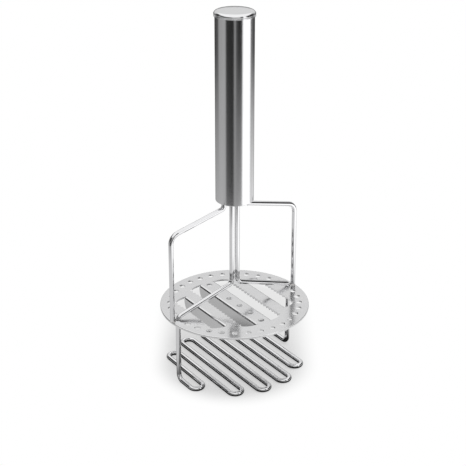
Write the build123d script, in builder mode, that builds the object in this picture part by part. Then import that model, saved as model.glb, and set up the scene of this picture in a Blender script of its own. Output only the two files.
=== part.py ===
from build123d import *
import os
from math import floor, pi, sqrt

os.makedirs("parts", exist_ok=True)

# Spring-loaded potato masher, standing on its zigzag wire.
# Origin on the standing surface, on the handle's axis. +Z runs up the handle, the frame's posts lie
# along X and the zigzag's straight runs lie along Y.

# Overruns and clearances
overrun = 1.0
running_gap = 0.05

# Handle tube and its cap
handle_radius = 14.0
handle_wall = 1.2
handle_bottom = 136.6
handle_top = 273.9
handle_lip = 0.5
cap_overhang = 0.8
cap_skirt = 2.2
cap_dome = 1.2
cap_edge_fillet = 1.1
cap_spigot_depth = 7.0
cap_spigot_wall = 1.5

# Base plug, guide bush and bumper washer
plug_length = 13.4
plug_recess = 0.6
plug_chamfer = 0.4
bush_wall_share = 1 / 2
washer_height = 2.0
washer_gap = 0.6

# Wire
wire_radius = 1.8
weld_leg = 0.7

# Outer frame wires
leg_inset = 3.3
shoulder_drop = 5.1
shoulder_bend = 3.0
outer_arm_fall = 11.3
outer_post_inset = 1.3
outer_post_bend = 8.0

# Masher wire
stem_offset = 2.44
inner_arm_rise = 16.9
inner_arm_fall = 15.0
stem_bend = 4.5
inner_post_bend = 3.8
foot_bend = 4.6
post_spacing = 4.7
half_runs = 5
turn_tip_inset = 6.5

# Mashing disc
disc_radius = 56.5
disc_thickness = 1.4
disc_top = 52.1
disc_edge_fillet = 0.5
hole_radius = 2.35
hole_ring_inset = 7.5
hole_ring_count = 32
row_pairs = 3
slot_width = 10.6
slot_starts = (7.2, 27.6)
slot_rim_margin = 16.9
slot_end_slant = 4.3
slot_end_bulge = 1.3
tooth_pitch = 3.5
tooth_depth = 1.5
bend_inner_radius = 0.5
tab_relief = 0.5

# Plunger head, and how far the handle can be pushed down over it
head_gap = 0.5
head_height = 7.0
head_chamfer = 0.6
stem_end_rise = 1.0
head_weld_leg = 1.0
bead_gap = 0.25
stroke = 34.0

# Return spring, its stop and the spacer sleeve
coil_inset = 2.3
coil_wire_radius = 0.65
coil_turns = 6
stop_height = 6.0
stop_gap = 0.3
stop_core_gap = 1.2
stop_core_depth = 3.0
sleeve_gap = 0.25
sleeve_wall = 1.0
sleeve_length = 28.0

# Heights that follow from the sizes above
tube_bore = handle_radius - handle_wall
leg_offset = tube_bore - leg_inset
stem_reach = stem_offset + wire_radius
bush_radius = stem_reach + bush_wall_share * (leg_offset - wire_radius - stem_reach)
washer_radius = tube_bore - washer_gap
head_radius = tube_bore - head_gap
coil_radius = head_radius - coil_wire_radius - coil_inset
stop_radius = tube_bore - stop_gap
stop_core_radius = coil_radius - coil_wire_radius - stop_core_gap
sleeve_outer_radius = tube_bore - sleeve_gap
plug_bottom = handle_bottom + plug_recess
plug_top = plug_bottom + plug_length
washer_top = plug_top + washer_height
head_bottom = washer_top
head_top = head_bottom + head_height
spigot_bottom = handle_top - cap_spigot_depth
stop_top = spigot_bottom - sleeve_length
spring_top = stop_top - stop_height
cap_radius = handle_radius + cap_overhang
disc_bottom = disc_top - disc_thickness
bend_outer_radius = bend_inner_radius + disc_thickness
outer_arm_height = handle_bottom - shoulder_drop
outer_post_height = outer_arm_height - outer_arm_fall
outer_post_offset = disc_radius - outer_post_inset
inner_arm_height = disc_top + inner_arm_rise
inner_post_offset = outer_post_offset - post_spacing
run_pitch = inner_post_offset / half_runs
turn_tip_radius = disc_radius - turn_tip_inset
hole_ring_radius = disc_radius - hole_ring_inset
row_spacing = hole_ring_radius / (row_pairs + 1 / 2)
slot_half_lengths = [sqrt((disc_radius - slot_rim_margin) ** 2 - start**2) for start in slot_starts]


def wire_along(points, radii):
    """Centre line of a bent wire: straight runs with a tangent arc at each inner point."""
    return FilletPolyline(*points, radius=radii)


# Handle tube
with BuildPart() as handle_tube:
    with BuildSketch(Plane.XY.offset(handle_bottom)):
        Circle(handle_radius)
        Circle(tube_bore, mode=Mode.SUBTRACT)
    extrude(amount=handle_top - handle_bottom)
    fillet(handle_tube.edges().group_by(Axis.Z)[0].sort_by(SortBy.LENGTH)[-1], handle_lip)
handle_tube.part.label = "handle_tube"
export_step(handle_tube.part, "parts/handle_tube.step")

# Top cap: a low dome with a short skirt that overhangs the tube, and a hollow spigot pressed inside it
with BuildPart() as top_cap:
    with BuildSketch(Plane.XZ):
        with BuildLine():
            skirt_top = handle_top + cap_skirt
            Line((0, skirt_top + cap_dome), (0, handle_top))
            Line((0, handle_top), (cap_radius, handle_top))
            Line((cap_radius, handle_top), (cap_radius, skirt_top))
            dome_rise = (cap_radius**2 + cap_dome**2) / cap_dome / 2
            mid_x = cap_radius / 2
            mid_z = skirt_top + cap_dome - dome_rise + sqrt(dome_rise**2 - mid_x**2)
            ThreePointArc((cap_radius, skirt_top), (mid_x, mid_z), (0, skirt_top + cap_dome))
        make_face()
    revolve(axis=Axis.Z)
    cap_rims = top_cap.edges().filter_by(GeomType.CIRCLE).filter_by(
        lambda e: abs(e.radius - cap_radius) < running_gap
    )
    fillet(cap_rims.group_by(Axis.Z)[-1], cap_edge_fillet)
    with BuildSketch(Plane.XY.offset(handle_top)):
        Circle(tube_bore)
        Circle(tube_bore - cap_spigot_wall, mode=Mode.SUBTRACT)
    extrude(amount=-cap_spigot_depth)
top_cap.part.label = "top_cap"
export_step(top_cap.part, "parts/top_cap.step")

# Base plug: pressed in the tube's lower end, with a leg hole each side and a bore for the bush
with BuildPart() as base_plug:
    with BuildSketch(Plane.XY.offset(plug_bottom)):
        Circle(tube_bore)
        with Locations((-leg_offset, 0), (leg_offset, 0)):
            Circle(wire_radius, mode=Mode.SUBTRACT)
        Circle(bush_radius, mode=Mode.SUBTRACT)
    extrude(amount=plug_length)
    outer_rims = base_plug.edges().filter_by(GeomType.CIRCLE).filter_by(
        lambda e: abs(e.radius - tube_bore) < running_gap
    )
    chamfer(outer_rims.group_by(Axis.Z)[0], plug_chamfer)
base_plug.part.label = "base_plug"
export_step(base_plug.part, "parts/base_plug.step")

# Stem bush: plain bearing for the two stems, pressed in the plug
with BuildPart() as stem_bush:
    with BuildSketch(Plane.XY.offset(plug_bottom)):
        Circle(bush_radius)
    extrude(amount=plug_length)
    with BuildSketch(Plane.XY.offset(plug_bottom)):
        with Locations((-stem_offset, 0), (stem_offset, 0)):
            Circle(wire_radius + running_gap)
    extrude(amount=plug_length, mode=Mode.SUBTRACT)
stem_bush.part.label = "stem_bush"
export_step(stem_bush.part, "parts/stem_bush.step")

# Bumper washer: lies on the plug and covers the ends of the frame wires' legs
with BuildPart() as bumper_washer:
    with BuildSketch(Plane.XY.offset(plug_top)):
        Circle(washer_radius)
        Circle(bush_radius, mode=Mode.SUBTRACT)
    extrude(amount=washer_height)
bumper_washer.part.label = "bumper_washer"
export_step(bumper_washer.part, "parts/bumper_washer.step")

# Frame wires: leg up through the plug, tight shoulder, sloping arm, wide bend and post down to the disc
for side, side_name in ((-1, "left"), (1, "right")):
    with BuildPart() as frame_wire:
        with BuildLine(Plane.XZ) as frame_path:
            wire_along(
                [
                    (side * leg_offset, plug_top),
                    (side * leg_offset, outer_arm_height),
                    (side * outer_post_offset, outer_post_height),
                    (side * outer_post_offset, disc_top),
                ],
                [shoulder_bend, outer_post_bend],
            )
        with BuildSketch(Plane.XY.offset(disc_top)):
            with Locations((side * outer_post_offset, 0)):
                Circle(wire_radius)
        sweep(path=frame_path.wires()[0])
    node_name = "frame_wire_" + side_name
    frame_wire.part.label = node_name
    export_step(frame_wire.part, "parts/" + node_name + ".step")

# Mashing disc: flat round plate with a ring and a row of holes, two post holes and four slots. The metal
# of each slot is folded down along the slot's straight side and keeps the saw teeth that the cut gave it.


def slot_points(start, half_length, tooth_side):
    """Corners of one slot's toothed side, from its +Y end to its -Y end."""
    reach = half_length - slot_end_slant
    count = floor(2 * reach / tooth_pitch)
    step = 2 * reach / count
    points = []
    for i in range(count):
        points.append((start, reach - i * step))
        points.append((start + tooth_side * tooth_depth, reach - (i + 1 / 2) * step))
    points.append((start, -reach))
    return points


with BuildPart() as mashing_disc:
    with BuildSketch(Plane.XY.offset(disc_bottom)):
        Circle(disc_radius)
    extrude(amount=disc_thickness)
    fillet(mashing_disc.edges().group_by(Axis.Z)[-1], disc_edge_fillet)
    with BuildSketch(Plane.XY.offset(disc_bottom)):
        with PolarLocations(hole_ring_radius, hole_ring_count):
            Circle(hole_radius)
        with Locations((-hole_ring_radius, 0), (hole_ring_radius, 0)):
            Circle(hole_radius + tab_relief, mode=Mode.SUBTRACT)
        with Locations((-inner_post_offset, 0), (inner_post_offset, 0)):
            Circle(hole_radius)
        with GridLocations(0, row_spacing, 1, 2 * row_pairs):
            Circle(hole_radius)
        for start, half_length in zip(slot_starts, slot_half_lengths):
            fold = start - bend_outer_radius
            far = start + slot_width
            with BuildLine():
                reach = half_length - slot_end_slant
                toothed = slot_points(far, half_length, -1)
                middle_x = (start + far) / 2
                middle_y = (half_length + reach) / 2
                Line((fold, -half_length), (fold, half_length))
                Line((fold, half_length), (start, half_length))
                ThreePointArc((start, half_length), (middle_x, middle_y + slot_end_bulge), (far, reach))
                Polyline(*toothed)
                ThreePointArc((far, -reach), (middle_x, -middle_y - slot_end_bulge), (start, -half_length))
                Line((start, -half_length), (fold, -half_length))
            make_face()
        mirror(about=Plane.YZ)
    extrude(amount=disc_thickness, mode=Mode.SUBTRACT)
    for start, half_length in zip(slot_starts, slot_half_lengths):
        for side in (-1, 1):
            fold = side * (start - bend_outer_radius)
            tab_half = half_length - tab_relief
            centre_z = disc_top - bend_outer_radius
            inner_x = fold + side * bend_inner_radius
            outer_x = fold + side * bend_outer_radius
            lean = sqrt(1 / 2)
            with BuildSketch(Plane.XZ.offset(-tab_half)):
                with BuildLine():
                    Line((fold, disc_bottom), (fold, disc_top))
                    ThreePointArc(
                        (fold, disc_top),
                        (fold + side * bend_outer_radius * lean, centre_z + bend_outer_radius * lean),
                        (outer_x, centre_z),
                    )
                    Line((outer_x, centre_z), (inner_x, centre_z))
                    ThreePointArc(
                        (inner_x, centre_z),
                        (fold + side * bend_inner_radius * lean, centre_z + bend_inner_radius * lean),
                        (fold, disc_bottom),
                    )
                make_face()
            extrude(amount=2 * tab_half)
            with BuildSketch(Plane.YZ.offset(inner_x)):
                with BuildLine():
                    reach = tab_half - slot_end_slant
                    tab_bottom = disc_top - slot_width
                    toothed = [(y, z) for z, y in slot_points(tab_bottom, tab_half, 1)]
                    middle_z = (centre_z + tab_bottom) / 2
                    Line((-tab_half, centre_z), (tab_half, centre_z))
                    bulge_y = (tab_half + reach) / 2 + slot_end_bulge
                    ThreePointArc((tab_half, centre_z), (bulge_y, middle_z), (reach, tab_bottom))
                    Polyline(*toothed)
                    ThreePointArc((-reach, tab_bottom), (-bulge_y, middle_z), (-tab_half, centre_z))
                make_face()
            extrude(amount=side * disc_thickness)
mashing_disc.part.label = "mashing_disc"
export_step(mashing_disc.part, "parts/mashing_disc.step")

# Disc welds: a small fillet of weld around the foot of each frame post
with BuildPart() as disc_welds:
    for side in (-1, 1):
        weld_x = side * outer_post_offset
        with BuildSketch(Plane.XZ.shift_origin((weld_x, 0, disc_top))):
            with BuildLine():
                Polyline((wire_radius, 0), (wire_radius + weld_leg, 0), (wire_radius, weld_leg), close=True)
            make_face()
        revolve(axis=Axis((weld_x, 0, disc_top), (0, 0, 1)))
    with BuildSketch(Plane.XY.offset(disc_top)):
        Circle(disc_radius + wire_radius + weld_leg + overrun)
        Circle(disc_radius - disc_edge_fillet, mode=Mode.SUBTRACT)
    extrude(amount=weld_leg + overrun, mode=Mode.SUBTRACT)
disc_welds.part.label = "disc_welds"
export_step(disc_welds.part, "parts/disc_welds.step")

# Masher wire: one wire. Each half runs from a stem's top down to its arm, over to its post, down through
# the disc, and along five and a half runs of the zigzag; the second half is the first turned about Z.
run_z = wire_radius
arm_end_height = inner_arm_height - inner_arm_fall
turn_radius = run_pitch / 2
stem_top = head_top + stem_end_rise
with BuildPart() as masher_wire:
    with BuildLine() as masher_path:
        for side in (-1, 1):
            wire_along(
                [
                    (side * stem_offset, 0, stem_top),
                    (side * stem_offset, 0, inner_arm_height),
                    (side * inner_post_offset, 0, arm_end_height),
                    (side * inner_post_offset, 0, run_z),
                    (side * inner_post_offset, side * 2 * foot_bend, run_z),
                ],
                [stem_bend, inner_post_bend, foot_bend],
            )
    with BuildLine() as zigzag_path:
        turn_starts = []
        for i in range(2 * half_runs):
            middle = (i + 1 / 2 - half_runs) * run_pitch
            direction = -1 if i % 2 == 0 else 1
            tip = sqrt(turn_tip_radius**2 - middle**2)
            turn_starts.append((middle, direction, tip - turn_radius))
        last_point = (-inner_post_offset, -2 * foot_bend, run_z)
        for middle, direction, turn_y in turn_starts:
            near = (middle - turn_radius, direction * turn_y, run_z)
            far = (middle + turn_radius, direction * turn_y, run_z)
            crown = (middle, direction * (turn_y + turn_radius), run_z)
            Line(last_point, near)
            ThreePointArc(near, crown, far)
            last_point = far
        Line(last_point, (inner_post_offset, 2 * foot_bend, run_z))
    for side in (-1, 1):
        with BuildSketch(Plane.XY.offset(stem_top)):
            with Locations((side * stem_offset, 0)):
                Circle(wire_radius)
        sweep(path=masher_path.wires().sort_by(Axis.X)[0 if side < 0 else -1])
    with BuildSketch(Plane(origin=(-inner_post_offset, -2 * foot_bend, run_z), z_dir=(0, 1, 0))):
        Circle(wire_radius)
    sweep(path=zigzag_path.wires()[0])
masher_wire.part.label = "masher_wire"
export_step(masher_wire.part, "parts/masher_wire.step")

# Plunger head: slides in the tube, carries the stems and takes the spring
with BuildPart() as plunger_head:
    with BuildSketch(Plane.XY.offset(head_bottom)):
        Circle(head_radius)
        with Locations((-stem_offset, 0), (stem_offset, 0)):
            Circle(wire_radius, mode=Mode.SUBTRACT)
    extrude(amount=head_height)
    head_rims = plunger_head.edges().filter_by(GeomType.CIRCLE).filter_by(
        lambda e: abs(e.radius - head_radius) < running_gap
    )
    chamfer(head_rims, head_chamfer)
plunger_head.part.label = "plunger_head"
export_step(plunger_head.part, "parts/plunger_head.step")

# Head welds: a bead around the end of each stem on top of the head
with BuildPart() as head_welds:
    for side in (-1, 1):
        bead_x = side * stem_offset
        with BuildSketch(Plane.XZ.shift_origin((bead_x, 0, head_top))):
            with BuildLine():
                Polyline(
                    (wire_radius, 0),
                    (wire_radius + head_weld_leg, 0),
                    (wire_radius, head_weld_leg),
                    close=True,
                )
            make_face()
        revolve(axis=Axis((bead_x, 0, head_top), (0, 0, 1)))
    with BuildSketch(Plane.XY.offset(head_top)):
        Rectangle(bead_gap, 2 * (wire_radius + head_weld_leg) + overrun)
    extrude(amount=head_weld_leg + overrun, mode=Mode.SUBTRACT)
head_welds.part.label = "head_welds"
export_step(head_welds.part, "parts/head_welds.step")

# Return spring: one coil of round wire between the head and the stop
coil_height = spring_top - head_top - 2 * coil_wire_radius - 2 * running_gap
coil_bottom = head_top + coil_wire_radius + running_gap
coil_pitch = coil_height / coil_turns
with BuildPart() as return_spring:
    with BuildLine(Plane.XY.offset(coil_bottom)) as coil_path:
        Helix(pitch=coil_pitch, height=coil_height, radius=coil_radius)
    start_plane = Plane(origin=coil_path.line @ 0, z_dir=coil_path.line % 0)
    with BuildSketch(start_plane):
        Circle(coil_wire_radius)
    sweep(path=coil_path.wires()[0])
return_spring.part.label = "return_spring"
export_step(return_spring.part, "parts/return_spring.step")

# Least gap of the coil to itself, from points along its centre line
samples = 60
coil_points = [coil_path.line @ (i / (samples * coil_turns)) for i in range(samples * coil_turns + 1)]
least = min(
    (coil_points[i] - coil_points[j]).length
    for i in range(0, len(coil_points), 5)
    for j in range(i + samples // 2, len(coil_points), 2)
)
print("least gap between the spring's turns, mm:", round(least - 2 * coil_wire_radius, 2))
coil_length = coil_path.wires()[0].length
print("spring volume, mm3:", round(return_spring.part.volume, 1))
print("section times length, mm3:", round(pi * coil_wire_radius**2 * coil_length, 1))

# Spring stop: closes the spring's upper end; its core keeps the coil central
with BuildPart() as spring_stop:
    with BuildSketch(Plane.XY.offset(spring_top)):
        Circle(stop_radius)
    extrude(amount=stop_height)
    with BuildSketch(Plane.XY.offset(spring_top)):
        Circle(stop_core_radius)
    extrude(amount=-stop_core_depth)
spring_stop.part.label = "spring_stop"
export_step(spring_stop.part, "parts/spring_stop.step")

# Spacer sleeve: thin tube that holds the stop against the cap's spigot
with BuildPart() as spacer_sleeve:
    with BuildSketch(Plane.XY.offset(stop_top)):
        Circle(sleeve_outer_radius)
        Circle(sleeve_outer_radius - sleeve_wall, mode=Mode.SUBTRACT)
    extrude(amount=sleeve_length)
spacer_sleeve.part.label = "spacer_sleeve"
export_step(spacer_sleeve.part, "parts/spacer_sleeve.step")

# Room that the full stroke leaves
tab_room = disc_top - slot_width - stroke - 2 * wire_radius
spring_room = spring_top - head_top - stroke - 2 * coil_wire_radius * (coil_turns + 1)
print("tabs above the zigzag at full stroke, mm:", round(tab_room, 2))
print("spring's spare length at full stroke, mm:", round(spring_room, 2))
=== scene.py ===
import bpy
from math import radians, sin, cos, pi
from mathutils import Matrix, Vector


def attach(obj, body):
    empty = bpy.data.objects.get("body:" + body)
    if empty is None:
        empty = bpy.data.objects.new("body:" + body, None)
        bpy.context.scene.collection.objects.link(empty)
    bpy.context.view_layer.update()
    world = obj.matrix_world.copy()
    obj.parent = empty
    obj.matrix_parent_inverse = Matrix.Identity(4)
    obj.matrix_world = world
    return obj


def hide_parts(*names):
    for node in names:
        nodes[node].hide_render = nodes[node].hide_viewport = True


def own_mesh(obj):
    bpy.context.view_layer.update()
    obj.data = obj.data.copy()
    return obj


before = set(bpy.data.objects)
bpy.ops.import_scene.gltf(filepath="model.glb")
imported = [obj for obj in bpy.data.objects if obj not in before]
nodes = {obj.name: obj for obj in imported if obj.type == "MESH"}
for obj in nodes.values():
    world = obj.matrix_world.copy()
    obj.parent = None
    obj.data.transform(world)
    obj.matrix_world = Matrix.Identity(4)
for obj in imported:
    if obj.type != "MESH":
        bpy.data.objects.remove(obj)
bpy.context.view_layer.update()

# Handle tube: stainless tube, brushed round its girth, so that the studio's cards stay sharp side to side
# and smear up and down. The brushing is one shared effect, used on the other satin pieces too.
brushing = bpy.data.node_groups.new("brushing", "ShaderNodeTree")
for name, kind, start in (("Vector", "NodeSocketVector", None), ("Scale", "NodeSocketVector", None),
                          ("Roughness", "NodeSocketFloat", 0.2), ("Spread", "NodeSocketFloat", 0.1),
                          ("Depth", "NodeSocketFloat", 0.1), ("Light", "NodeSocketColor", None),
                          ("Dark", "NodeSocketColor", None)):
    socket = brushing.interface.new_socket(name=name, in_out="INPUT", socket_type=kind)
    if start is not None:
        socket.default_value = start
for name, kind in (("Color", "NodeSocketColor"), ("Roughness", "NodeSocketFloat"),
                   ("Normal", "NodeSocketVector")):
    brushing.interface.new_socket(name=name, in_out="OUTPUT", socket_type=kind)
given = brushing.nodes.new("NodeGroupInput")
result = brushing.nodes.new("NodeGroupOutput")
stretch = brushing.nodes.new("ShaderNodeVectorMath")
stretch.operation = "MULTIPLY"
strokes = brushing.nodes.new("ShaderNodeTexNoise")
strokes.inputs["Scale"].default_value = 1.0
strokes.inputs["Detail"].default_value = 5.0
strokes.inputs["Roughness"].default_value = 0.65
clouds = brushing.nodes.new("ShaderNodeTexNoise")
clouds.inputs["Scale"].default_value = 35.0
clouds.inputs["Detail"].default_value = 2.0
centred = brushing.nodes.new("ShaderNodeMath")
centred.operation = "SUBTRACT"
centred.inputs[1].default_value = 0.5
spread = brushing.nodes.new("ShaderNodeMath")
spread.operation = "MULTIPLY_ADD"
tone = brushing.nodes.new("ShaderNodeMix")
tone.data_type = "RGBA"
both = brushing.nodes.new("ShaderNodeMath")
both.operation = "MULTIPLY_ADD"
both.inputs[1].default_value = 0.6
lines = brushing.nodes.new("ShaderNodeBump")
lines.inputs["Distance"].default_value = 0.0001
brushing.links.new(given.outputs["Vector"], stretch.inputs[0])
brushing.links.new(given.outputs["Scale"], stretch.inputs[1])
brushing.links.new(stretch.outputs["Vector"], strokes.inputs["Vector"])
brushing.links.new(given.outputs["Vector"], clouds.inputs["Vector"])
brushing.links.new(strokes.outputs["Fac"], centred.inputs[0])
brushing.links.new(centred.outputs["Value"], spread.inputs[0])
brushing.links.new(given.outputs["Spread"], spread.inputs[1])
brushing.links.new(given.outputs["Roughness"], spread.inputs[2])
brushing.links.new(centred.outputs["Value"], both.inputs[0])
brushing.links.new(clouds.outputs["Fac"], both.inputs[2])
brushing.links.new(both.outputs["Value"], tone.inputs[0])
brushing.links.new(given.outputs["Dark"], tone.inputs[6])
brushing.links.new(given.outputs["Light"], tone.inputs[7])
brushing.links.new(strokes.outputs["Fac"], lines.inputs["Height"])
brushing.links.new(given.outputs["Depth"], lines.inputs["Strength"])
brushing.links.new(tone.outputs[2], result.inputs["Color"])
brushing.links.new(spread.outputs["Value"], result.inputs["Roughness"])
brushing.links.new(lines.outputs["Normal"], result.inputs["Normal"])


def brushed_metal(name, scale, roughness, spread_by, depth, light, dark, metallic=1.0):
    """A material on the shared brushing, with its own direction, gloss and tone."""
    material = bpy.data.materials.new(name)
    material.use_nodes = True
    tree = material.node_tree
    shader = tree.nodes["Principled BSDF"]
    shader.inputs["Metallic"].default_value = metallic
    place = tree.nodes.new("ShaderNodeTexCoord")
    effect = tree.nodes.new("ShaderNodeGroup")
    effect.node_tree = brushing
    effect.inputs["Scale"].default_value = scale
    effect.inputs["Roughness"].default_value = roughness
    effect.inputs["Spread"].default_value = spread_by
    effect.inputs["Depth"].default_value = depth
    effect.inputs["Light"].default_value = (*light, 1)
    effect.inputs["Dark"].default_value = (*dark, 1)
    tree.links.new(place.outputs["Object"], effect.inputs["Vector"])
    tree.links.new(effect.outputs["Color"], shader.inputs["Base Color"])
    tree.links.new(effect.outputs["Roughness"], shader.inputs["Roughness"])
    tree.links.new(effect.outputs["Normal"], shader.inputs["Normal"])
    return material


def wear_metal(node, material):
    """Gives a solid from the drawing its finish."""
    solid = nodes[node]
    solid.data.materials.clear()
    solid.data.materials.append(material)


girth_brushed = brushed_metal(
    "girth_brushed_steel", scale=(40, 40, 5200), roughness=0.17, spread_by=0.10, depth=0.10,
    light=(0.80, 0.80, 0.81), dark=(0.72, 0.72, 0.73),
)
wear_metal("handle_tube", girth_brushed)

# Top cap: pressed from sheet, spun and polished. Its broad bevel runs down to a short skirt with a fine
# neck and a rolled lip that laps over the tube's end; the spigot inside holds it. The section is given as
# radius and height in millimetres.
spun_polish = brushed_metal(
    "spun_polish", scale=(900, 900, 900), roughness=0.12, spread_by=0.06, depth=0.03,
    light=(0.88, 0.88, 0.89), dark=(0.82, 0.82, 0.83),
)
millimetre = 0.001
weld_distance = 0.002 * millimetre
cap_profile = (
    (0, 277.30), (6.0, 277.22), (10.0, 277.06), (12.4, 276.88), (13.3, 276.68), (13.9, 276.36),
    (14.35, 275.90), (14.65, 275.36), (14.8, 274.88), (14.7, 274.70), (14.24, 274.08), (14.24, 273.96),
    (14.5, 273.90), (14.72, 273.74), (14.8, 273.54), (14.76, 273.30), (14.62, 273.16), (14.04, 273.16),
    (14.04, 273.94), (12.76, 273.94), (12.76, 266.95), (11.3, 266.95), (11.3, 272.60), (0, 272.60),
)
bpy.ops.object.select_all(action="DESELECT")
bpy.ops.mesh.primitive_plane_add(size=millimetre, location=(0, 0, 0))
cap = bpy.context.object
cap.name = "cap_pressing"
bpy.ops.object.mode_set(mode="EDIT")
bpy.ops.mesh.merge(type="CENTER")
bpy.ops.transform.translate(value=(0, 0, cap_profile[0][1] * millimetre))
for (near_r, near_z), (far_r, far_z) in zip(cap_profile, cap_profile[1:]):
    reach = ((far_r - near_r) * millimetre, 0, (far_z - near_z) * millimetre)
    bpy.ops.mesh.extrude_region_move(TRANSFORM_OT_translate={"value": reach})
bpy.ops.mesh.select_all(action="SELECT")
bpy.ops.mesh.spin(steps=128, angle=2 * pi, center=(0, 0, 0), axis=(0, 0, 1))
bpy.ops.mesh.select_all(action="SELECT")
bpy.ops.mesh.remove_doubles(threshold=weld_distance)
bpy.ops.mesh.normals_make_consistent(inside=False)
bpy.ops.object.mode_set(mode="OBJECT")
bpy.ops.object.shade_smooth_by_angle(angle=radians(35))
cap.data.materials.append(spun_polish)
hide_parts("top_cap")
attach(cap, "handle")

# Frame wires and masher wire: drawn stainless wire, bent cold and electropolished, smooth but for slight
# changes of gloss.
bright_wire = brushed_metal(
    "bright_wire", scale=(260, 260, 260), roughness=0.045, spread_by=0.02, depth=0.0,
    light=(0.86, 0.86, 0.87), dark=(0.80, 0.80, 0.81),
)
for node in ("frame_wire_left", "frame_wire_right", "masher_wire"):
    wear_metal(node, bright_wire)

# Mashing disc: blanked and pierced plate with a soft polish, its teeth left by the press tool.
press_satin = brushed_metal(
    "press_satin", scale=(120, 900, 600), roughness=0.17, spread_by=0.08, depth=0.03,
    light=(0.86, 0.86, 0.86), dark=(0.79, 0.79, 0.80),
)
wear_metal("mashing_disc", press_satin)

# Welds: small beads where the frame wires meet the disc and the stems meet the plunger head, a little
# duller and browner than the wire.
weld_grey = brushed_metal(
    "weld_grey", scale=(1500, 1500, 1500), roughness=0.34, spread_by=0.2, depth=0.3,
    light=(0.62, 0.61, 0.60), dark=(0.42, 0.41, 0.40),
)
for node in ("disc_welds", "head_welds"):
    wear_metal(node, weld_grey)

# Base plug, plunger head and spacer sleeve: turned steel parts inside the handle; only the plug shows.
turned = brushed_metal(
    "turned_steel", scale=(1200, 1200, 300), roughness=0.26, spread_by=0.12, depth=0.1,
    light=(0.70, 0.70, 0.71), dark=(0.58, 0.58, 0.59),
)
for node in ("base_plug", "plunger_head", "spacer_sleeve"):
    wear_metal(node, turned)

# Return spring: drawn spring wire, six open turns. The head carries its lower end, and the stop
# shortens it as the handle goes down.
spring_wire = brushed_metal(
    "spring_wire", scale=(500, 500, 500), roughness=0.2, spread_by=0.1, depth=0.05,
    light=(0.66, 0.66, 0.67), dark=(0.52, 0.52, 0.53),
)
wear_metal("return_spring", spring_wire)
spring_wire_radius, coil_radius = 0.65 * millimetre, 9.35 * millimetre
lead_angle = radians(11.5)
coil_seat, coil_start, coil_rise = 0.1596, 0.1603, 0.0719
bpy.ops.object.select_all(action="DESELECT")
bpy.ops.mesh.primitive_circle_add(
    vertices=12, radius=spring_wire_radius, location=(coil_radius, 0, coil_start),
    rotation=(lead_angle - radians(90), 0, 0),
)
coil = bpy.context.object
coil.name = "spring_coil"
bpy.ops.object.transform_apply(location=True, rotation=True, scale=True)
bpy.ops.object.modifier_add(type="SCREW")
turns = coil.modifiers[0]
turns.iterations = 6
turns.screw_offset = coil_rise / turns.iterations
turns.steps = turns.render_steps = 40
turns.use_merge_vertices = False
bpy.ops.object.modifier_apply(modifier=turns.name)
bpy.ops.object.mode_set(mode="EDIT")
bpy.ops.mesh.select_all(action="SELECT")
bpy.ops.mesh.remove_doubles(threshold=weld_distance)
bpy.ops.mesh.fill_holes(sides=0)
bpy.ops.mesh.normals_make_consistent(inside=False)
bpy.ops.object.mode_set(mode="OBJECT")
bpy.ops.object.shade_smooth_by_angle(angle=radians(40))
coil.data.materials.append(spring_wire)
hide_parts("return_spring")
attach(coil, "masher")
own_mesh(coil)

# Stem bush and spring stop: moulded nylon, off-white, slightly mottled.
nylon = brushed_metal(
    "moulded_nylon", scale=(400, 400, 400), roughness=0.5, spread_by=0.1, depth=0.05,
    light=(0.74, 0.73, 0.69), dark=(0.66, 0.65, 0.61), metallic=0.0,
)
for node in ("stem_bush", "spring_stop"):
    wear_metal(node, nylon)

# Bumper washer: black rubber that takes the knock when the handle springs back.
rubber = brushed_metal(
    "washer_rubber", scale=(700, 700, 700), roughness=0.75, spread_by=0.1, depth=0.2,
    light=(0.045, 0.045, 0.045), dark=(0.02, 0.02, 0.02), metallic=0.0,
)
wear_metal("bumper_washer", rubber)

# Camera: a long lens a little above the masher, looking down at it from the front left, so that the
# disc shows as a flat oval and the zigzag's front turns point to the lower right.
camera_azimuth = radians(-34.0)
camera_pitch = radians(24.09)
camera_distance = 0.8129
camera_height = 0.4731
camera_side = 0.00116
sensor_width = 36.0
focal_length_pixels, picture_width_pixels = 1200.0, 466.0
right = Vector((cos(camera_azimuth), sin(camera_azimuth), 0))
back = Vector((sin(camera_azimuth), -cos(camera_azimuth), 0))
bpy.ops.object.select_all(action="DESELECT")
bpy.ops.object.camera_add()
camera = bpy.context.object
camera.name = "camera"
camera.data.lens = sensor_width * focal_length_pixels / picture_width_pixels
camera.data.sensor_width = sensor_width
camera.location = back * camera_distance - right * camera_side + Vector((0, 0, camera_height))
camera.rotation_mode = "XYZ"
camera.rotation_euler = (radians(90) - camera_pitch, 0, camera_azimuth)
nearest_seen, farthest_seen = 0.01, 50
camera.data.clip_start, camera.data.clip_end = nearest_seen, farthest_seen
bpy.context.scene.camera = camera
bpy.context.scene.view_settings.view_transform = "Standard"

# Studio cards: the cloths and boards round the table that the polished metal mirrors; the four rows on
# the floor are painted reflections there. Each row holds its greys by bearing from the camera: four rows
# on the floor, the wall's row, and how high the wall's row goes.
cards = bpy.data.node_groups.new("studio_cards", "ShaderNodeTree")
cards.interface.new_socket(name="Direction", in_out="INPUT", socket_type="NodeSocketVector")
for name in ("Inner", "Close", "Near", "Far", "Wall", "Rise"):
    cards.interface.new_socket(name=name, in_out="OUTPUT", socket_type="NodeSocketColor")
given = cards.nodes.new("NodeGroupInput")
result = cards.nodes.new("NodeGroupOutput")
turn = cards.nodes.new("ShaderNodeMapping")
turn.inputs["Rotation"].default_value = (0, 0, -camera_azimuth)
parts = cards.nodes.new("ShaderNodeSeparateXYZ")
toward = cards.nodes.new("ShaderNodeMath")
toward.operation = "MULTIPLY"
toward.inputs[1].default_value = -1
bearing = cards.nodes.new("ShaderNodeMath")
bearing.operation = "ARCTAN2"
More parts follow.
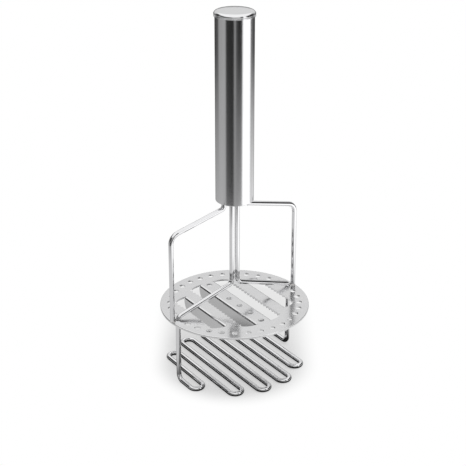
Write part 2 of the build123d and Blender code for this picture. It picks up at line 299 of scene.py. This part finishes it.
share = cards.nodes.new("ShaderNodeMapRange")
share.inputs["From Min"].default_value = -pi
share.inputs["From Max"].default_value = pi
cards.links.new(given.outputs["Direction"], turn.inputs["Vector"])
cards.links.new(turn.outputs["Vector"], parts.inputs["Vector"])
cards.links.new(parts.outputs["Y"], toward.inputs[0])
cards.links.new(parts.outputs["X"], bearing.inputs[0])
cards.links.new(toward.outputs["Value"], bearing.inputs[1])
cards.links.new(bearing.outputs["Value"], share.inputs["Value"])
rows = {
    "Inner": (
        (-180, 1.20), (-165, 1.20), (-145, 0.70), (-120, 0.48), (-92, 0.52), (-80, 0.66),
        (20, 0.60), (35, 0.80), (100, 0.80), (145, 0.70), (165, 1.20), (180, 1.20),
    ),
    "Close": (
        (-180, 0.04), (-164, 0.04), (-150, 0.62), (15, 0.66), (35, 1.20), (105, 1.20), (115, 0.70),
        (148, 0.70), (162, 0.04), (180, 0.04),
    ),
    "Near": (
        (-180, 0.10), (-162, 0.15), (-144, 0.47), (-81, 0.51), (-56, 0.47), (-47, 0.13),
        (-23, 0.07), (-9, 0.06), (-1, 0.36), (18, 0.34), (40, 0.36), (48, 1.40), (98, 1.40),
        (107, 0.82), (147, 0.90), (162, 0.20), (180, 0.10),
    ),
    "Far": (
        (-180, 0.06), (-150, 0.06), (-112, 0.09), (-100, 0.38), (-56, 0.44), (-48, 0.03),
        (-6, 0.02), (-1, 0.32), (5, 0.30), (9, 0.07), (18, 0.04), (24, 0.01), (42, 0.02),
        (50, 1.40), (98, 1.40), (106, 0.24), (125, 0.11), (150, 0.05), (180, 0.06),
    ),
    "Wall": (
        (-180, 0.74), (-155, 0.74), (-138, 0.55), (-127, 0.04), (-98, 0.04), (-90, 0.40),
        (-82, 0.08), (-20, 0.06), (-10, 0.45), (30, 0.45), (37, 0.20), (39, 0.03), (48, 0.03),
        (51, 1.10), (64, 1.10), (70, 0.30), (76, 0.03), (124, 0.03), (140, 0.45), (155, 0.74),
        (180, 0.74),
    ),
    "Rise": (
        (-180, 0.02), (-150, 0.02), (-130, 0.14), (-75, 0.14), (-60, 0.08), (30, 0.08), (37, 0.18),
        (49, 0.18), (54, 0.08), (66, 0.08), (75, 0.12), (130, 0.12), (150, 0.02), (180, 0.02),
    ),
}


def grey(level):
    """A neutral colour with its alpha."""
    return (level, level, level, 1)


for row_name, stops in rows.items():
    row = cards.nodes.new("ShaderNodeValToRGB")
    while len(row.color_ramp.elements) < len(stops):
        row.color_ramp.elements.new(0.5)
    for element, (degrees_round, level) in zip(row.color_ramp.elements, stops):
        element.position = (degrees_round + 180) / 360
        element.color = grey(level)
    cards.links.new(share.outputs["Result"], row.inputs["Fac"])
    cards.links.new(row.outputs["Color"], result.inputs[row_name])

# Floor: a pale matt sweep, white but for a painted shadow: a soft grey shade painted under the masher
# that trails off behind it. To metal the floor glows with painted reflections: near black right under the
# masher and the studio's rows of cards beyond, each from and to the radii given with it.
bpy.ops.object.select_all(action="DESELECT")
floor_size, floor_drop = 8, 0.0002
bpy.ops.mesh.primitive_plane_add(size=floor_size, location=(0, 0, -floor_drop))
floor = bpy.context.object
floor.name = "floor"
floor_paint = bpy.data.materials.new("floor_paint")
floor_paint.use_nodes = True
tree = floor_paint.node_tree
tree.nodes.clear()
out = tree.nodes.new("ShaderNodeOutputMaterial")
matt = tree.nodes.new("ShaderNodeBsdfDiffuse")
# Painted shadow: a flat grey that camera rays see under the masher in place of the lit floor.
shade = tree.nodes.new("ShaderNodeEmission")
shade.inputs["Color"].default_value = grey(0.78)
white = tree.nodes.new("ShaderNodeEmission")
white.inputs["Color"].default_value = grey(1)
mirrored = tree.nodes.new("ShaderNodeEmission")
# Painted shade: the floor's matt colour is darker under the masher and pale beyond it.
tone = tree.nodes.new("ShaderNodeMix")
tone.data_type = "RGBA"
tone.inputs[6].default_value = grey(0.80)
tone.inputs[7].default_value = grey(0.94)
place = tree.nodes.new("ShaderNodeTexCoord")
# The painted shadow's reach: a capsule from under the masher to this point behind it, fading out between
# the two radii below.
shade_end = Vector((0.049, 0.073, 0))
along = tree.nodes.new("ShaderNodeVectorMath")
along.operation = "DOT_PRODUCT"
along.inputs[1].default_value = shade_end.normalized()
held = tree.nodes.new("ShaderNodeClamp")
held.inputs["Max"].default_value = shade_end.length
nearest = tree.nodes.new("ShaderNodeVectorMath")
nearest.operation = "SCALE"
nearest.inputs[0].default_value = shade_end.normalized()
away = tree.nodes.new("ShaderNodeVectorMath")
away.operation = "DISTANCE"
fade = tree.nodes.new("ShaderNodeMapRange")
fade.interpolation_type = "SMOOTHSTEP"
shade_starts_to_fade, shade_gone = 0.044, 0.068
fade.inputs["From Min"].default_value = shade_starts_to_fade
fade.inputs["From Max"].default_value = shade_gone
tree.links.new(place.outputs["Object"], along.inputs[0])
tree.links.new(along.outputs["Value"], held.inputs["Value"])
tree.links.new(held.outputs["Result"], nearest.inputs["Scale"])
tree.links.new(place.outputs["Object"], away.inputs[0])
tree.links.new(nearest.outputs["Vector"], away.inputs[1])
tree.links.new(away.outputs["Value"], fade.inputs["Value"])
length = tree.nodes.new("ShaderNodeVectorMath")
length.operation = "LENGTH"
row = tree.nodes.new("ShaderNodeGroup")
row.node_tree = cards
tree.links.new(place.outputs["Object"], length.inputs[0])
tree.links.new(place.outputs["Object"], row.inputs["Direction"])
# Painted dark reflection: the near black that metal sees right under the masher, in place of the lit
# floor.
painted_dark_reflection = tree.nodes.new("ShaderNodeRGB")
painted_dark_reflection.outputs["Color"].default_value = grey(0.015)
seen_row = painted_dark_reflection.outputs["Color"]
# Painted reflections: the card rows that glossy rays see on the floor, ring by ring outwards from the
# masher.
for row_name, starts, ends in (
    ("Inner", 0.055, 0.085), ("Close", 0.16, 0.20), ("Near", 0.26, 0.33), ("Far", 0.33, 0.90)
):
    step = tree.nodes.new("ShaderNodeMapRange")
    step.inputs["From Min"].default_value = starts
    step.inputs["From Max"].default_value = ends
    between = tree.nodes.new("ShaderNodeMix")
    between.data_type = "RGBA"
    tree.links.new(length.outputs["Value"], step.inputs["Value"])
    tree.links.new(step.outputs["Result"], between.inputs[0])
    tree.links.new(seen_row, between.inputs[6])
    tree.links.new(row.outputs[row_name], between.inputs[7])
    seen_row = between.outputs[2]
tree.links.new(seen_row, mirrored.inputs["Color"])
ray = tree.nodes.new("ShaderNodeLightPath")
seen = tree.nodes.new("ShaderNodeMath")
seen.operation = "MULTIPLY"
softened = tree.nodes.new("ShaderNodeMath")
softened.operation = "MULTIPLY"
# How much of the painted shadow's flat grey takes the place of the lit floor for camera rays.
shade_strength = 0.7
softened.inputs[1].default_value = shade_strength
painted_soft_shade = tree.nodes.new("ShaderNodeMixShader")
blend = tree.nodes.new("ShaderNodeMixShader")
blend_mirrored = tree.nodes.new("ShaderNodeMixShader")
tree.links.new(fade.outputs["Result"], seen.inputs[0])
tree.links.new(ray.outputs["Is Camera Ray"], seen.inputs[1])
tree.links.new(fade.outputs["Result"], tone.inputs[0])
tree.links.new(tone.outputs[2], matt.inputs["Color"])
tree.links.new(ray.outputs["Is Camera Ray"], softened.inputs[0])
tree.links.new(softened.outputs["Value"], painted_soft_shade.inputs["Fac"])
tree.links.new(matt.outputs["BSDF"], painted_soft_shade.inputs[1])
tree.links.new(shade.outputs["Emission"], painted_soft_shade.inputs[2])
tree.links.new(seen.outputs["Value"], blend.inputs["Fac"])
tree.links.new(painted_soft_shade.outputs["Shader"], blend.inputs[1])
tree.links.new(white.outputs["Emission"], blend.inputs[2])
# Glossy rays see the floor's painted reflections instead of its matt colour.
tree.links.new(ray.outputs["Is Glossy Ray"], blend_mirrored.inputs["Fac"])
tree.links.new(blend.outputs["Shader"], blend_mirrored.inputs[1])
tree.links.new(mirrored.outputs["Emission"], blend_mirrored.inputs[2])
tree.links.new(blend_mirrored.outputs["Shader"], out.inputs["Surface"])
floor.data.materials.append(floor_paint)

# Tent: even white cloth over the whole set. Metal sees a dark grey strip along the table's edge, the
# wall's cards above it, and the bright cloth overhead.
world = bpy.data.worlds.new("tent")
bpy.context.scene.world = world
world.use_nodes = True
tree = world.node_tree
tree.nodes.clear()
out = tree.nodes.new("ShaderNodeOutputWorld")
cloth = tree.nodes.new("ShaderNodeBackground")
cloth.inputs["Color"].default_value = grey(1)
cloth_strength = 0.62
cloth.inputs["Strength"].default_value = cloth_strength
seen_white = tree.nodes.new("ShaderNodeBackground")
seen_white.inputs["Color"].default_value = grey(1)
mirrored = tree.nodes.new("ShaderNodeBackground")
direction = tree.nodes.new("ShaderNodeTexCoord")
row = tree.nodes.new("ShaderNodeGroup")
row.node_tree = cards
height = tree.nodes.new("ShaderNodeSeparateXYZ")
tree.links.new(direction.outputs["Generated"], row.inputs["Direction"])
tree.links.new(direction.outputs["Generated"], height.inputs["Vector"])
lowered = tree.nodes.new("ShaderNodeMath")
lowered.operation = "SUBTRACT"
tree.links.new(height.outputs["Z"], lowered.inputs[0])
tree.links.new(row.outputs["Rise"], lowered.inputs[1])
strip = tree.nodes.new("ShaderNodeRGB")
strip.outputs["Color"].default_value = grey(0.22)
bright = tree.nodes.new("ShaderNodeRGB")
bright.outputs["Color"].default_value = grey(1.02)
seen_row = strip.outputs["Color"]
for upper, level, starts, ends in (
    (row.outputs["Wall"], height.outputs["Z"], 0.10, 0.17),
    (bright.outputs["Color"], lowered.outputs["Value"], 0.46, 0.56),
):
    step = tree.nodes.new("ShaderNodeMapRange")
    step.interpolation_type = "SMOOTHSTEP"
    step.inputs["From Min"].default_value = starts
    step.inputs["From Max"].default_value = ends
    between = tree.nodes.new("ShaderNodeMix")
    between.data_type = "RGBA"
    tree.links.new(level, step.inputs["Value"])
    tree.links.new(step.outputs["Result"], between.inputs[0])
    tree.links.new(seen_row, between.inputs[6])
    tree.links.new(upper, between.inputs[7])
    seen_row = between.outputs[2]
tree.links.new(seen_row, mirrored.inputs["Color"])
ray = tree.nodes.new("ShaderNodeLightPath")
to_metal = tree.nodes.new("ShaderNodeMixShader")
to_camera = tree.nodes.new("ShaderNodeMixShader")
tree.links.new(ray.outputs["Is Glossy Ray"], to_metal.inputs["Fac"])
tree.links.new(cloth.outputs["Background"], to_metal.inputs[1])
tree.links.new(mirrored.outputs["Background"], to_metal.inputs[2])
tree.links.new(ray.outputs["Is Camera Ray"], to_camera.inputs["Fac"])
tree.links.new(to_metal.outputs["Shader"], to_camera.inputs[1])
tree.links.new(seen_white.outputs["Background"], to_camera.inputs[2])
tree.links.new(to_camera.outputs["Shader"], out.inputs["Surface"])

# Key lamp: a broad soft box overhead, a little to the right. It lights the matt things; the metal mirrors
# the cloth alone.
bpy.ops.object.select_all(action="DESELECT")
bpy.ops.object.light_add(type="AREA", location=(0, 0, 0))
lamp = bpy.context.object
lamp.name = "soft_box"
lamp.data.shape = "RECTANGLE"
lamp_side, lamp_watts = 0.7, 7.0
lamp_right, lamp_forward, lamp_height, aimed_at_height = 0.30, 0.10, 1.1, 0.1
lamp.data.size, lamp.data.size_y = lamp_side, lamp_side
lamp.data.energy = lamp_watts
lamp.visible_glossy = False
lamp.location = right * lamp_right + back * lamp_forward + Vector((0, 0, lamp_height))
lamp.rotation_mode = "QUATERNION"
lamp.rotation_quaternion = (lamp.location - Vector((0, 0, aimed_at_height))).to_track_quat("Z", "Y")
